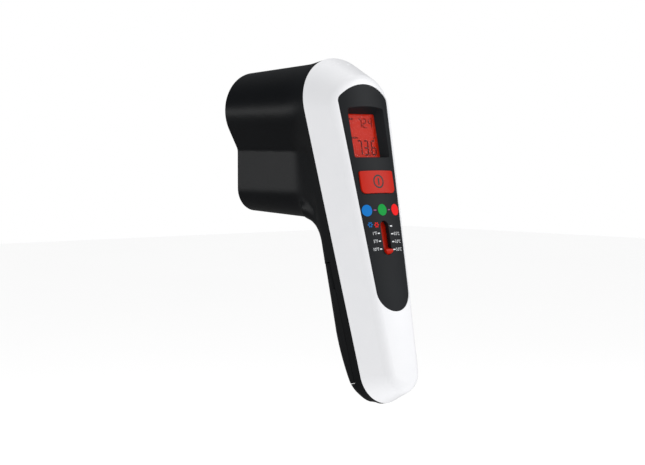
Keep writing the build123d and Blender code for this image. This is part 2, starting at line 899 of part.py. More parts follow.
processor_side = 10.0
processor_height = 1.6
processor_spot = (-8.0, 49.0)  # x and s, as for every component below
chip_width = 5.0
chip_length = 4.0
chip_height = 1.4
chip_spots = [(9.0, 42.0), (9.0, 58.0), (-6.0, 86.5)]
crystal_width = 8.0
crystal_length = 3.6
crystal_height = 3.0
crystal_spot = (-8.0, 58.8)
capacitor_r = 3.0
capacitor_height = 7.5
capacitor_spots = [(9.0, 80.0), (-9.0, 80.0)]
resistor_width = 1.6
resistor_length = 0.8
resistor_height = 0.5
resistor_pitch = (3.2, 2.2)
resistor_fields = [(9.0, 50.0, 3, 4), (4.0, 100.0, 3, 3)]  # with the counts across and down


def board_block(width, length, height, x, s, corner=0.0):
    """A component on the back of the board, centred on a place."""
    return face_slab(
        span(width, s - length / 2, s + length / 2, corner, x), board_level - height, height
    )


with BuildPart() as processor:
    add(board_block(processor_side, processor_side, processor_height, *processor_spot))
save(processor, "processor")

with BuildPart() as small_chips:
    for spot in chip_spots:
        add(board_block(chip_width, chip_length, chip_height, *spot))
save(small_chips, "small_chips")

with BuildPart() as crystal:
    crystal_end_r = 0.45 * crystal_length
    add(board_block(crystal_width, crystal_length, crystal_height, *crystal_spot, crystal_end_r))
save(crystal, "crystal")

with BuildPart() as capacitors:
    with BuildSketch(face.offset(board_level)):
        for x, s in capacitor_spots:
            with Locations((x, -s)):
                Circle(capacitor_r)
    extrude(amount=-capacitor_height)
save(capacitors, "capacitors")

with BuildPart() as chip_resistors:
    with BuildSketch(face.offset(board_level)):
        for x, s, across, down in resistor_fields:
            with Locations((x, -s)):
                with GridLocations(*resistor_pitch, across, down):
                    Rectangle(resistor_width, resistor_length)
    extrude(amount=-resistor_height)
save(chip_resistors, "chip_resistors")


# ---- front face, lamp and sensor ---------------------------------------------------------------

seat_gap = 0.05  # behind the bezel, in front of the pieces that it holds
led_side = 5.0
led_body_height = 1.6
led_dome_r = 1.5
cable_hole_r = 4.0
lens_back = bezel_thickness + lens_edge
lens_r = lens_hole_r + lens_lip
barrel_bore = lens_r + slip
barrel_r = barrel_bore + barrel_wall
reflector_mouth = lens_back + slip
lamp_board_at = reflector_mouth + reflector_depth + slip
spreader_at = lamp_board_at + lamp_board_thickness + slip
lamp_plane = Plane(origin=(0, 0, lamp_z), x_dir=(0, -1, 0), z_dir=(1, 0, 0))
lamp_axis = Axis((0, 0, lamp_z), (0, 1, 0))
tube_end = bezel_thickness + sensor_tube_length
sensor_seat = bezel_thickness + 2.2  # depth of the step that the sensor's lens sits on
sensor_board_at = tube_end + seat_gap
sensor_board_thickness = 1.4
can_rim = 0.45
can_rim_thickness = 0.5
can_standoff = 0.6  # between the sensor's can and its board
pin_circle_r = 2.0
pin_r = 0.25
pin_tail = 0.8


def nose_disc(r, at, thickness, z):
    """A disc across the nose, from `at` behind the front face."""
    with BuildPart(mode=Mode.PRIVATE) as made:
        with BuildSketch(Plane.XZ.offset(at)):
            with Locations((0, z)):
                Circle(r)
        extrude(amount=thickness)
    return made.part


with BuildPart() as front_bezel:
    with BuildSketch(Plane.XZ):
        add(nose_outline(-bezel_rim - bezel_gap))
        with Locations((0, lamp_z)):
            Circle(lens_hole_r, mode=Mode.SUBTRACT)
        with Locations((0, sensor_z)):
            Circle(sensor_hole_r, mode=Mode.SUBTRACT)
    extrude(amount=bezel_thickness)
save(front_bezel, "front_bezel")

with BuildPart() as lamp_lens:
    lens_front = bezel_thickness + seat_gap
    dome_r = lens_hole_r - 2 * slip
    ball_r = (dome_r**2 + lens_dome**2) / (2 * lens_dome)
    half_way = lens_front - lens_dome + ball_r - sqrt(ball_r**2 - dome_r**2 / 4)
    with BuildSketch(lamp_plane):
        with BuildLine():
            dome_top = (lens_front - lens_dome, 0)
            dome_foot = (lens_front, -dome_r)
            Polyline(dome_top, (lens_back, 0), (lens_back, -lens_r), (lens_front, -lens_r), dome_foot)
            ThreePointArc(dome_foot, (half_way, -dome_r / 2), dome_top)
        make_face()
    revolve(axis=lamp_axis)
save(lamp_lens, "lamp_lens")

with BuildPart() as lamp_reflector:
    mouth_r = lens_r - 3 * slip
    with BuildSketch(lamp_plane):
        with BuildLine():
            deep_end = reflector_mouth + reflector_depth
            bend = (reflector_mouth + 0.55 * reflector_depth, -0.74 * mouth_r)
            mouth = (reflector_mouth, -mouth_r)
            mouth_inside = (reflector_mouth, reflector_wall - mouth_r)
            bend_inside = (bend[0], bend[1] + reflector_wall)
            throat = (deep_end, -reflector_throat_r - reflector_wall)
            throat_inside = (deep_end, -reflector_throat_r)
            ThreePointArc(mouth, bend, throat)
            Line(throat, throat_inside)
            ThreePointArc(throat_inside, bend_inside, mouth_inside)
            Line(mouth_inside, mouth)
        make_face()
    revolve(axis=lamp_axis)
save(lamp_reflector, "lamp_reflector")

with BuildPart() as lamp_barrel:
    barrel_front = bezel_thickness + seat_gap
    add(nose_disc(barrel_r, barrel_front, carrier_depth - barrel_front, lamp_z))
    add(nose_disc(barrel_bore, 0, carrier_depth - barrel_floor, lamp_z), mode=Mode.SUBTRACT)
    add(nose_disc(cable_hole_r, 0, 2 * carrier_depth, lamp_z), mode=Mode.SUBTRACT)
save(lamp_barrel, "lamp_barrel")

with BuildPart() as lamp_board:
    add(nose_disc(lens_r, lamp_board_at, lamp_board_thickness, lamp_z))
save(lamp_board, "lamp_board")

with BuildPart() as colour_led:
    with BuildSketch(Plane.XZ.offset(lamp_board_at)):
        with Locations((0, lamp_z)):
            Rectangle(led_side, led_side)
    extrude(amount=-led_body_height)
    with Locations((0, led_body_height - lamp_board_at, lamp_z)):
        Sphere(led_dome_r)
save(colour_led, "colour_led")

with BuildPart() as heat_spreader:
    add(nose_disc(lens_r, spreader_at, spreader_thickness, lamp_z))
    add(nose_disc(spreader_hole_r, spreader_at, spreader_thickness, lamp_z), mode=Mode.SUBTRACT)
save(heat_spreader, "heat_spreader")

with BuildPart() as sensor_tube:
    tube_front = bezel_thickness + seat_gap
    add(nose_disc(sensor_tube_r, tube_front, tube_end - tube_front, sensor_z))
    add(nose_disc(sensor_lens_r + slip, 0, sensor_seat, sensor_z), mode=Mode.SUBTRACT)
    add(nose_disc(sensor_bore_r, 0, tube_end, sensor_z), mode=Mode.SUBTRACT)
save(sensor_tube, "sensor_tube")

with BuildPart() as sensor_lens:
    sensor_lens_at = sensor_seat - seat_gap - sensor_lens_thickness
    add(nose_disc(sensor_lens_r, sensor_lens_at, sensor_lens_thickness, sensor_z))
save(sensor_lens, "sensor_lens")

with BuildPart() as infrared_sensor:
    can_end = sensor_board_at - can_standoff
    add(nose_disc(sensor_can_r, can_end - sensor_can_height, sensor_can_height, sensor_z))
    add(nose_disc(sensor_can_r + can_rim, can_end - can_rim_thickness, can_rim_thickness, sensor_z))
save(infrared_sensor, "infrared_sensor")

with BuildPart() as sensor_board:
    with BuildSketch(Plane.XZ.offset(sensor_board_at)):
        with Locations((0, sensor_z)):
            Rectangle(sensor_board_width, sensor_board_height)
            with PolarLocations(pin_circle_r, 4, start_angle=45):
                Circle(pin_r + slip, mode=Mode.SUBTRACT)
    extrude(amount=sensor_board_thickness)
save(sensor_board, "sensor_board")

with BuildPart() as sensor_pins:
    with BuildSketch(Plane.XZ.offset(can_end)):
        with Locations((0, sensor_z)):
            with PolarLocations(pin_circle_r, 4, start_angle=45):
                Circle(pin_r)
    extrude(amount=can_standoff + sensor_board_thickness + pin_tail)
save(sensor_pins, "sensor_pins")

sensor_post_x = 6.5
sensor_post_drop = 6.5
sensor_post_r = 1.6
sensor_post_top = sensor_board_at + sensor_board_thickness
sensor_post_spots = [
    (sensor_post_x, sensor_z - sensor_post_drop),
    (-sensor_post_x, sensor_z - sensor_post_drop),
]

with BuildPart() as optics_carrier:
    with BuildSketch(Plane.XZ.offset(carrier_depth)):
        add(nose_outline(carrier_depth * draft - housing_wall - carrier_gap))
        with Locations((0, lamp_z), (0, sensor_z)):
            Circle(carrier_hole_r, mode=Mode.SUBTRACT)
        with Locations(*carrier_spots):
            Circle(carrier_screw_r + screw_clearance, mode=Mode.SUBTRACT)
    extrude(amount=carrier_thickness)
    with BuildSketch(Plane.XZ.offset(sensor_post_top)):
        with Locations(*sensor_post_spots):
            Circle(sensor_post_r)
    extrude(amount=carrier_depth - sensor_post_top)
save(optics_carrier, "optics_carrier")

with BuildPart() as carrier_screws:
    with BuildSketch(Plane.XZ.offset(carrier_depth)):
        with Locations(*carrier_spots):
            Circle(carrier_screw_r)
    extrude(amount=carrier_screw_length)
    with BuildSketch(Plane.XZ.offset(carrier_depth)):
        with Locations(*carrier_spots):
            Circle(carrier_head_r)
    extrude(amount=-carrier_head_height)
save(carrier_screws, "carrier_screws")


# ---- battery -----------------------------------------------------------------------------------

battery_end_s = battery_top_s + battery_body
battery_front = battery_back + battery_thickness
battery_middle = (battery_back + battery_front) / 2
battery_post_x = 6.35
post_round_r = 2.9
post_polygon_r = 4.0
post_gap = 0.3
battery_corner_r = 1.8
cradle_top_s = battery_top_s - 1.5
cradle_stop = 1.1  # thickness of the wall that stops the battery at the top
grip_axis = Axis(face.origin, face.y_dir)
cap_back = battery_middle - snap_cap_thickness / 2
cap_top_s = battery_end_s + 0.2
cap_end_s = cap_top_s + snap_cap_length
terminal_plane = Plane(
    origin=face.from_local_coords(Vector(0, -battery_end_s, battery_middle)),
    x_dir=(1, 0, 0),
    z_dir=-face.y_dir,
)

with BuildPart() as battery:
    add(face_slab(span(battery_width, battery_top_s, battery_end_s), battery_back, battery_thickness))
    fillet(battery.edges().filter_by(grip_axis), radius=battery_corner_r)
save(battery, "battery")

with BuildPart() as battery_posts:
    with BuildSketch(terminal_plane):
        with Locations((battery_post_x, 0)):
            Circle(post_round_r)
        with Locations((-battery_post_x, 0)):
            RegularPolygon(post_polygon_r, 6)
    extrude(amount=battery_post_height)
save(battery_posts, "battery_posts")

with BuildPart() as battery_snap:
    add(face_slab(span(snap_cap_width, cap_top_s, cap_end_s), cap_back, snap_cap_thickness))
    fillet(battery_snap.edges().filter_by(grip_axis), radius=snap_cap_thickness / 4)
    with BuildSketch(terminal_plane):
        with Locations((battery_post_x, 0), (-battery_post_x, 0)):
            Circle(post_polygon_r + post_gap)
    extrude(amount=battery_post_height + post_gap, mode=Mode.SUBTRACT)
save(battery_snap, "battery_snap")

with BuildPart() as battery_cradle:
    cradle_front = battery_front + cradle_gap
    add(face_slab(span(cradle_width, cradle_top_s, battery_end_s, 1.0), cradle_front, cradle_wall))
    stop = span(cradle_width, cradle_top_s, cradle_top_s + cradle_stop)
    add(face_slab(stop, battery_middle, cradle_front + cradle_wall / 2 - battery_middle))
save(battery_cradle, "battery_cradle")

with BuildPart() as housing_screws:
    with BuildSketch(face.offset(shelf_back)):
        with Locations(*screw_spots):
            Circle(screw_r)
    extrude(amount=screw_length)
    with BuildSketch(face.offset(shelf_back)):
        with Locations(*screw_spots):
            Circle(screw_head_r)
    extrude(amount=-screw_head_height)
save(housing_screws, "housing_screws")


# ---- sockets and leads -------------------------------------------------------------------------

lead_socket_x = -8.2
lead_socket_width = 6.4
lead_socket_top_s = 104.0
lead_socket_end_s = 110.0
lead_socket_height = 4.4
lead_level = board_front + lead_socket_height / 2
lamp_socket_s = 30.0
lamp_socket_width = 8.0
sensor_socket_s = 70.0
sensor_socket_width = 6.0
cable_socket_length = 5.0
cable_socket_height = 4.0
cable_end_gap = 0.2
cable_level = board_level - cable_socket_height - cable_end_gap

with BuildPart() as battery_socket:
    lead_socket = span(lead_socket_width, lead_socket_top_s, lead_socket_end_s, x=lead_socket_x)
    add(face_slab(lead_socket, board_front, lead_socket_height))
save(battery_socket, "battery_socket")

with BuildPart() as cable_sockets:
    for width, s in [(lamp_socket_width, lamp_socket_s), (sensor_socket_width, sensor_socket_s)]:
        add(board_block(width, cable_socket_length, cable_socket_height, 0, s))
save(cable_sockets, "cable_sockets")


def lead(points, radii, r):
    """A lead along straight runs joined by tangent arcs."""
    with BuildPart(mode=Mode.PRIVATE) as made:
        with BuildLine() as route:
            FilletPolyline(*points, radius=radii)
        with BuildSketch(Plane(origin=route.wire() @ 0, z_dir=route.wire() % 0)):
            Circle(r)
        sweep()
    return made.part


def on_face(x, s, n):
    """A point of the cover's frame in the part's frame."""
    return face.from_local_coords(Vector(x, -s, n))


lead_side = 2.0  # half the distance between the two battery leads at the snap
lead_foot = 6.4  # from the snap down to where the leads turn to the front
lead_turn_r = 2.8
lead_lane = battery_front + cradle_gap + cradle_wall + 2 * lead_r


def battery_lead(side):
    """From the snap, round the foot of the battery, and up in front of it to the board."""
    foot_s = cap_end_s + lead_foot
    socket_x = lead_socket_x + side / 2
    points = [
        on_face(side, cap_end_s, battery_middle),
        on_face(side, foot_s, battery_middle),
        on_face(side, foot_s, lead_lane),
        on_face(side - 0.6, 150.0, lead_lane + 0.2),
        on_face(side - 4.0, 130.0, lead_lane),
        on_face(socket_x, lead_socket_end_s + 4.5, lead_level),
        on_face(socket_x, lead_socket_end_s, lead_level),
    ]
    return lead(points, [lead_turn_r, lead_turn_r, 60.0, 40.0, 4.0], lead_r)


with BuildPart() as battery_lead_red:
    add(battery_lead(lead_side))
save(battery_lead_red, "battery_lead_red")

with BuildPart() as battery_lead_black:
    add(battery_lead(-lead_side))
save(battery_lead_black, "battery_lead_black")

lamp_cable_r = 1.5
sensor_cable_r = 1.2
cable_radii = [12.0, 12.0, 8.0]

with BuildPart() as lamp_cable:
    lamp_cable_run = [
        Vector(0, -lamp_board_at - lamp_board_thickness, lamp_z),
        Vector(0, -carrier_back - 5.0, lamp_z),
        Vector(2.0, -carrier_back - 24.0, lamp_z - 5.0),
        on_face(0, lamp_socket_s + 0.6, cable_level - 7.8),
        on_face(0, lamp_socket_s, cable_level),
    ]
    add(lead(lamp_cable_run, cable_radii, lamp_cable_r))
save(lamp_cable, "lamp_cable")

with BuildPart() as sensor_cable:
    sensor_cable_run = [
        Vector(0, -sensor_board_at - sensor_board_thickness, sensor_z),
        Vector(0, -carrier_back - 7.0, sensor_z),
        Vector(-2.5, -carrier_back - 29.0, sensor_z - 3.5),
        on_face(0, sensor_socket_s + 0.6, cable_level - 8.8),
        on_face(0, sensor_socket_s, cable_level),
    ]
    add(lead(sensor_cable_run, cable_radii, sensor_cable_r))
save(sensor_cable, "sensor_cable")
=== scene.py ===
import json
import math

import bmesh
import bpy
from mathutils import Matrix, Vector


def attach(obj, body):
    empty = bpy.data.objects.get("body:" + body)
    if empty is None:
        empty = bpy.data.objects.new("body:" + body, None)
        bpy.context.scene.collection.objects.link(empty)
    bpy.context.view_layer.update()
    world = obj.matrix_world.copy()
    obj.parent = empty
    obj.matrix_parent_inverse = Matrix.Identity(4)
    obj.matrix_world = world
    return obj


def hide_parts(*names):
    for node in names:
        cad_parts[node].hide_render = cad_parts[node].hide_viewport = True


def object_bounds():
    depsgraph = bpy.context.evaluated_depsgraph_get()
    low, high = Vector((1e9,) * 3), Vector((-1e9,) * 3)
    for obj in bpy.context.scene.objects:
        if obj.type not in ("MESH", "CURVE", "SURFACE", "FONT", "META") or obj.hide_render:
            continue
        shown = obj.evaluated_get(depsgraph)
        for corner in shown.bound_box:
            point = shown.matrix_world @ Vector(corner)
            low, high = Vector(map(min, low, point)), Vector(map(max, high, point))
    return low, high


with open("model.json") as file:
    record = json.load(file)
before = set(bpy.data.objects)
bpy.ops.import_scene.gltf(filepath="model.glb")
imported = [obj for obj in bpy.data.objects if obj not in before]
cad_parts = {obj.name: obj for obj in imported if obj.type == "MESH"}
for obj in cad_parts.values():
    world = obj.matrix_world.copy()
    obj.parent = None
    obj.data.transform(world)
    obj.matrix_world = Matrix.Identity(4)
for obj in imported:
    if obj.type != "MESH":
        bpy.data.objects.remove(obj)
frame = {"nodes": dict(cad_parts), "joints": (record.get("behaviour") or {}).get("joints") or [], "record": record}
cadLow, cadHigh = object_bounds()
print("frame loaded:", len(frame["nodes"]), "nodes")

# The leak detector is drawn on the tilted plane where cover and housing meet. Its directions
# come from the slide and the button, its top from the hand grip further down.
millimetre = 0.001
gripMountS = 135
joints = {joint["name"]: joint for joint in frame["joints"]}
upGrip = Vector(joints["sensitivity_slide"]["axis"]).normalized()
toUser = -Vector(joints["button_press"]["axis"]).normalized()
mounts = {mount["name"]: mount for mount in frame["record"]["mounts"]}
partingTop = Vector(mounts["hand_grip"]["pos_m"]) + upGrip * gripMountS * millimetre

# Outer form of the casing, in millimetres. On the tilted plane s runs down the grip, n to the user.
casing = {
    "length": 193.0, "headRadius": 28.2, "endRadius": 16.8,
    "crownHeight": 20.3, "crownRadius": 52.0, "crownFall": 0.7, "panelSink": 0.25,
}


def onFace(x, s, n):
    place = partingTop + Vector((x, 0, 0)) * millimetre
    return place - upGrip * s * millimetre + toUser * n * millimetre


def panelLevel(x, s, sink):
    radius = casing["crownRadius"]
    fall = s * math.tan(math.radians(casing["crownFall"]))
    return casing["crownHeight"] - radius - fall + math.sqrt((radius - sink) ** 2 - x ** 2)


# Materials. Every slot of the part has its own look.


def linearColour(hexColour):
    channels = [int(hexColour[i:i + 2], 16) / 255 for i in (1, 3, 5)]
    return [c / 12.92 if c <= 0.04045 else ((c + 0.055) / 1.055) ** 2.4 for c in channels] + [1.0]


def addNode(tree, kind, settings=None, values=None, links=None):
    node = tree.nodes.new(kind)
    for key, value in (settings or {}).items():
        setattr(node, key, value)
    for key, value in (values or {}).items():
        node.inputs[key].default_value = value
    for key, source in (links or {}).items():
        tree.links.new(source, node.inputs[key])
    return node


def makeSurface(name, look):
    # look: light and dark shade, roughness and its spread, grain in mm, relief in mm, shader values
    material = bpy.data.materials.new(name)
    material.use_nodes = True
    tree = material.node_tree
    tree.nodes.clear()
    place = addNode(tree, "ShaderNodeTexCoord").outputs["Object"]
    cloud = addNode(tree, "ShaderNodeTexNoise", values={
        "Scale": 1 / (look.get("cloud", 14.0) * millimetre), "Detail": 3.0},
        links={"Vector": place})
    grain = addNode(tree, "ShaderNodeTexNoise", values={
        "Scale": 1 / (look.get("grain", 0.5) * millimetre), "Detail": 2.0}, links={"Vector": place})
    shade = addNode(tree, "ShaderNodeMix", {"data_type": "RGBA"}, links={0: cloud.outputs["Fac"]})
    shade.inputs[6].default_value = linearColour(look["dark"])
    shade.inputs[7].default_value = linearColour(look["light"])
    spread = look.get("spread", 0.04)
    rough = addNode(tree, "ShaderNodeMapRange", values={
        "To Min": look["rough"] - spread, "To Max": look["rough"] + spread},
        links={"Value": grain.outputs["Fac"]})
    bump = addNode(tree, "ShaderNodeBump", values={
        "Strength": 0.6, "Distance": look.get("relief", 0.01) * millimetre},
        links={"Height": grain.outputs["Fac"]})
    shader = addNode(tree, "ShaderNodeBsdfPrincipled", values=look.get("shader"), links={
        "Base Color": shade.outputs[2], "Roughness": rough.outputs["Result"],
        "Normal": bump.outputs["Normal"]})
    addNode(tree, "ShaderNodeOutputMaterial", links={"Surface": shader.outputs["BSDF"]})
    material.diffuse_color = linearColour(look["light"])
    return material


looks = {
    # white ABS from a polished tool: clean, bright, with soft broad highlights
    "white_shell": ("whiteMouldedAbs", {"light": "#F1F1F3", "dark": "#EBECEF", "rough": 0.34,
        "grain": 0.6, "relief": 0.004, "shader": {"IOR": 1.5, "Specular IOR Level": 0.45}}),
    # black ABS, satin: deep black with a grey bloom where it faces a light
    "black_shell": ("blackSatinAbs", {"light": "#0B0D11", "dark": "#07090C", "rough": 0.34,
        "grain": 0.5, "relief": 0.006, "shader": {"IOR": 1.5, "Specular IOR Level": 0.26}}),
    # the same black ABS with a finely eroded surface: a touch duller than the nose
    "door_shell": ("blackErodedAbs", {"light": "#0E1014", "dark": "#0A0C0F", "rough": 0.4,
        "grain": 0.35, "relief": 0.02, "shader": {"IOR": 1.5, "Specular IOR Level": 0.26}}),
    # graphite ABS with a spark-eroded texture: matt, slightly lighter than the nose
    "graphite_panel": ("graphiteTexturedAbs", {"light": "#1E2124", "dark": "#191B1E", "rough": 0.5,
        "grain": 0.3, "relief": 0.03, "shader": {"IOR": 1.5, "Specular IOR Level": 0.18}}),
    # through-coloured red ABS: strong scarlet with a soft gloss
    "red_button": ("scarletMouldedAbs", {"light": "#C0200A", "dark": "#B41A08", "rough": 0.33,
        "grain": 0.5, "relief": 0.006, "shader": {"IOR": 1.5, "Specular IOR Level": 0.14}}),
    # clear cast acrylic: almost nothing but its gloss
    "clear_window": ("clearAcrylicWindow", {"light": "#3A3A3C", "dark": "#303032", "rough": 0.06,
        "spread": 0.01, "relief": 0.0,
        "shader": {"IOR": 1.49, "Alpha": 0.07, "Specular IOR Level": 0.15}}),
    # display glass with its red backlight on: glows evenly
    "lcd": ("redBacklitGlass", {"light": "#B8220C", "dark": "#AC1D0A", "rough": 0.3,
        "cloud": 30.0, "relief": 0.0, "shader": {"IOR": 1.5, "Specular IOR Level": 0.1,
        "Emission Color": linearColour("#DC2608"), "Emission Strength": 0.3}}),
    "black_inner": ("blackInnerAbs", {"light": "#17181A", "dark": "#101113", "rough": 0.48,
        "grain": 0.4, "relief": 0.02, "shader": {"IOR": 1.5}}),
    "light_guide": ("frostedAcrylic", {"light": "#F0B8A8", "dark": "#E8A898", "rough": 0.4,
        "shader": {"IOR": 1.49, "Subsurface Weight": 0.2, "Subsurface Scale": 0.002}}),
    "led_yellow": ("phosphorAndEpoxy", {"light": "#F2E6B8", "dark": "#E9DAA2", "rough": 0.3,
        "shader": {"IOR": 1.52}}),
    "rubber_strip": ("zebraElastomer", {"light": "#4A4C50", "dark": "#2C2D30", "rough": 0.7,
        "cloud": 1.0, "shader": {"IOR": 1.5}}),
    # green solder mask over glass cloth: faint weave, waxy gloss
    "circuit_green": ("solderMaskedGlassCloth", {"light": "#1E6A3A", "dark": "#155530",
        "rough": 0.34, "grain": 0.8, "relief": 0.02, "shader": {"IOR": 1.55}}),
    "chip_black": ("mouldedEpoxy", {"light": "#1E1F21", "dark": "#161719", "rough": 0.55,
        "grain": 0.2, "relief": 0.01, "shader": {"IOR": 1.55}}),
    # zinc-plated steel: grey, lightly brushed
    "steel": ("zincPlatedSteel", {"light": "#B9BCC0", "dark": "#A4A8AD", "rough": 0.34,
        "grain": 0.3, "relief": 0.01, "shader": {"Metallic": 1.0}}),
    "aluminium": ("rolledAluminium", {"light": "#D2D4D6", "dark": "#C2C5C8", "rough": 0.32,
        "grain": 0.4, "relief": 0.01, "shader": {"Metallic": 1.0}}),
    "mirror_coat": ("vacuumMetallisedAbs", {"light": "#E6E7E9", "dark": "#DEE0E2", "rough": 0.08,
        "spread": 0.02, "relief": 0.0, "shader": {"Metallic": 1.0}}),
    # polished acrylic lens: clear with a faint frost
    "lens_clear": ("polishedAcrylicLens", {"light": "#F2F5F6", "dark": "#E9EEF0", "rough": 0.1,
        "spread": 0.02, "relief": 0.0, "shader": {"IOR": 1.49, "Alpha": 0.32}}),
    # thin polyethylene infrared lens: milky
    "lens_white": ("milkyPolyethylene", {"light": "#E9E9E4", "dark": "#DCDCD6", "rough": 0.38,
        "shader": {"IOR": 1.51, "Subsurface Weight": 0.3, "Subsurface Scale": 0.001}}),
    "nylon_white": ("naturalNylon", {"light": "#E8E6DA", "dark": "#DDDACC", "rough": 0.45,
        "shader": {"IOR": 1.53, "Subsurface Weight": 0.15, "Subsurface Scale": 0.001}}),
    "battery_wrap": ("printedSteelJacket", {"light": "#3A3D44", "dark": "#2E3138", "rough": 0.3,
        "cloud": 8.0, "shader": {"IOR": 1.5, "Coat Weight": 0.3}}),
    "foam": ("closedCellFoam", {"light": "#2A2A2A", "dark": "#151515", "rough": 0.9,
        "grain": 0.8, "relief": 0.2, "shader": {"IOR": 1.4}}),
    "wire_red": ("redPvcInsulation", {"light": "#C8231C", "dark": "#B81E18", "rough": 0.42,
        "shader": {"IOR": 1.53}}),
    "wire_black": ("blackPvcInsulation", {"light": "#1A1A1A", "dark": "#121212", "rough": 0.42,
        "shader": {"IOR": 1.53}}),
    "wire_grey": ("greyPvcSheath", {"light": "#8A8C90", "dark": "#7C7E82", "rough": 0.45,
        "shader": {"IOR": 1.53}}),
}
dull = {"Specular IOR Level": 0.1}  # inks with hardly any gloss
prints = {
    # pad-printed ink: flat, a little duller than the plastic under it
    "whiteInk": {"light": "#E4E6E8", "dark": "#DADCDF", "rough": 0.5},
    "blackInk": {"light": "#1B1211", "dark": "#140D0C", "rough": 0.45},
    "blueInk": {"light": "#0A76C6", "dark": "#086DBA", "rough": 0.42, "shader": dull},
    "greenInk": {"light": "#049A3E", "dark": "#039038", "rough": 0.42, "shader": dull},
    "redInk": {"light": "#EE1A1C", "dark": "#E41618", "rough": 0.42, "shader": dull},
    "purpleInk": {"light": "#A03A86", "dark": "#92327A", "rough": 0.45},
    # liquid-crystal segments switched on: dark, the backlight just shows through
    "segmentShade": {"light": "#4A0E08", "dark": "#400C06", "rough": 0.4, "shader": dull},
}
materials = {slot: makeSurface(name, look) for slot, (name, look) in looks.items()}
inks = {name: makeSurface(name, look) for name, look in prints.items()}
for subpart in frame["record"]["subparts"]:
    node = frame["nodes"][subpart["node"]]
    node.data.materials.clear()
    node.data.materials.append(materials[subpart["material_slot"]])
print("materials:", len(materials) + len(inks))


# Making pieces.


def meshPiece(name, vertices, faces, material, smooth=True):
    mesh = bpy.data.meshes.new(name)
    mesh.from_pydata([tuple(v) for v in vertices], [], faces)
    mesh.update()
    piece = bpy.data.objects.new(name, mesh)
    bpy.context.scene.collection.objects.link(piece)
    if material:
        mesh.materials.append(material)
    for polygon in mesh.polygons:
        polygon.use_smooth = smooth
    return piece


def mendNormals(piece):
    work = bmesh.new()
    work.from_mesh(piece.data)
    bmesh.ops.remove_doubles(work, verts=work.verts, dist=1e-7)
    bmesh.ops.recalc_face_normals(work, faces=work.faces)
    work.to_mesh(piece.data)
    work.free()


def bakeModifiers(piece):
    # the evaluated shape becomes the piece's own plain mesh
    depsgraph = bpy.context.evaluated_depsgraph_get()
    baked = bpy.data.meshes.new_from_object(piece.evaluated_get(depsgraph))
    piece.modifiers.clear()
    piece.data = baked
    return piece


def joinPieces(name, parts):
    work = bmesh.new()
    for part in parts:
        work.from_mesh(part.data)
    mesh = bpy.data.meshes.new(name)
    work.to_mesh(mesh)
    work.free()
    joined = bpy.data.objects.new(name, mesh)
    bpy.context.scene.collection.objects.link(joined)
    mesh.materials.append(parts[0].data.materials[0])
    for part in parts:
        bpy.data.objects.remove(part)
    return joined


def tubeOfRings(name, rings, material):
    # closed skin over rings of equal count, capped at both ends
    count = len(rings[0])
    vertices = [point for ring in rings for point in ring]
    faces = []
    for row in range(len(rings) - 1):
        for i in range(count):
            j = (i + 1) % count
            a, b = row * count, (row + 1) * count
            faces.append((a + i, a + j, b + j, b + i))
    faces.append(tuple(range(count)))
    faces.append(tuple(range((len(rings) - 1) * count, len(rings) * count)))
    piece = meshPiece(name, vertices, faces, material)
    mendNormals(piece)
    return piece


# The housing is one smooth skin over the nose, its flare and the back of the grip.

nose = {
    "draft": 2.74, "lobeRadius": 22.8, "lobeHeight": 18.2, "halfWidth": 13.6, "bottom": -41.0,
    "flank": 28.5, "flareStart": 54.0, "waistS": 56.0, "lowS": 84.0, "endS": 103.0,
}
grip = {
    "topS": 74.0, "depthTop": 15.0, "depthTopS": 80, "depthFull": 20.0, "fullS": 150.0,
    "leanHead": 7.2, "leanEnd": 3.2, "edgeRadius": 9.0, "cornerShare": 0.92, "leastDepth": 0.4,
    "overrun": 1.0, "footBend": 1.8, "footRound": 0.32, "ringPitch": 4, "footRings": 14,
}
# soft inner corner under the nose: its radius, centre, half widths, how far it reaches inwards, and
# how square its section is; its back is narrower and lies deeper, out of sight
web = {
    "radius": 18.0, "centreY": -60.7, "centreZ": -62.6, "noseHalf": 18.0, "gripHalf": 20.0,
    "turn": 82.0, "depth": 9.0, "square": 0.6, "backWidth": 0.9, "backDepth": 1.3,
    "rings": 12, "ringSteps": 24,
}
skin = {
    "wall": 2.0, "voxel": 0.85, "rimWall": 1.0, "bezelDepth": 2.0, "hollowShare": 0.25,
    "noseStart": -3.0, "nosePast": 5.0, "gripPast": 4.0, "sharpAngle": 38,
    "blendRadius": 16.0, "blendSteps": 90, "blendEdge": 1.6, "blendDrop": 3.0, "blendDepth": 16.0,
    "evenSteps": 6, "smoothing": 0.5, "doorTop": 113.0, "doorEnd": 180.0, "doorSide": -7.0,
    "shelfTop": 172.6, "shelfEnd": 181.5, "shelfBack": 6.0, "shelfFront": 4.2, "shelfBite": 0.2,
    "cutterHalf": 60.0, "cutterEnd": 300,
}


def arcPoints(centre, radius, start, end, count):
    angles = [start + (end - start) * i / count for i in range(count)]
    return [(centre[0] + radius * math.cos(a), centre[1] + radius * math.sin(a)) for a in angles]


def linePoints(start, end, count):
    return [(start[0] + (end[0] - start[0]) * i / count, start[1] + (end[1] - start[1]) * i / count)
            for i in range(count)]


